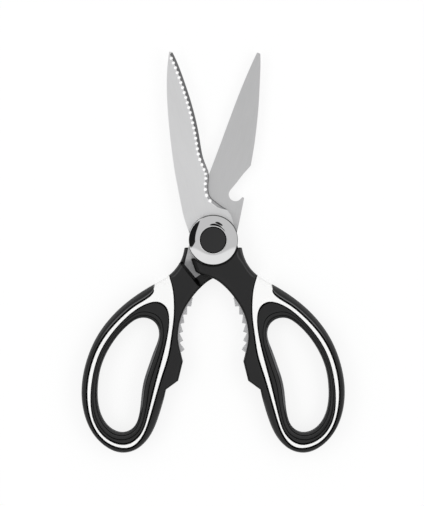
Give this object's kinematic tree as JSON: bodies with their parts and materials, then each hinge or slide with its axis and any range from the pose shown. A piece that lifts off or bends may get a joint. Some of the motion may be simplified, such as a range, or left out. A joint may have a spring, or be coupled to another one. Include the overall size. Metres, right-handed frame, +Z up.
{
  "type": "kitchen shears",
  "caption": "Kitchen shears lying open: one serrated blade, one plain blade with an opener notch, soft-grip loop handles with a toothed nutcracker jaw, round pivot cover.",
  "frame": {"origin": "on the pivot axis, at the plane that the shears rest on, which is the flat bottom of the pivot nut", "axes": "+Y along the middle of the open blades towards their tips, +Z up along the pivot axis out of the plane that the shears rest on, +X towards the handle of the serrated half"},
  "size_m": [0.1364, 0.208, 0.0117],
  "materials": {
    "front_steel": "brushed",
    "rear_steel": "brushed",
    "jaw_steel": "satin",
    "white_plastic": "satin",
    "black_grip": "matte",
    "cover_chrome": "polished",
    "black_button": "matte",
    "pivot_steel": "turned"
  },
  "bodies": {
    "front_half": {"front_blade": "front_steel", "front_jaw": "jaw_steel", "front_handle_core": "white_plastic", "front_outer_grip": "black_grip", "front_ring_grip": "black_grip", "pivot_screw": "pivot_steel", "pivot_nut": "pivot_steel", "spring_washer": "pivot_steel", "blade_washer": "pivot_steel", "cover_ring": "cover_chrome", "cover_button": "black_button"},
    "rear_half": {"rear_blade": "rear_steel", "rear_jaw": "jaw_steel", "rear_handle_core": "white_plastic", "rear_outer_grip": "black_grip", "rear_ring_grip": "black_grip"}
  },
  "joints": [
    {"name": "pivot", "type": "hinge", "parent": "front_half", "child": "rear_half", "pos_m": [0, 0, 0.0055], "axis": [0, 0, -1], "range_deg": [-27.5, 70]}
  ]
}
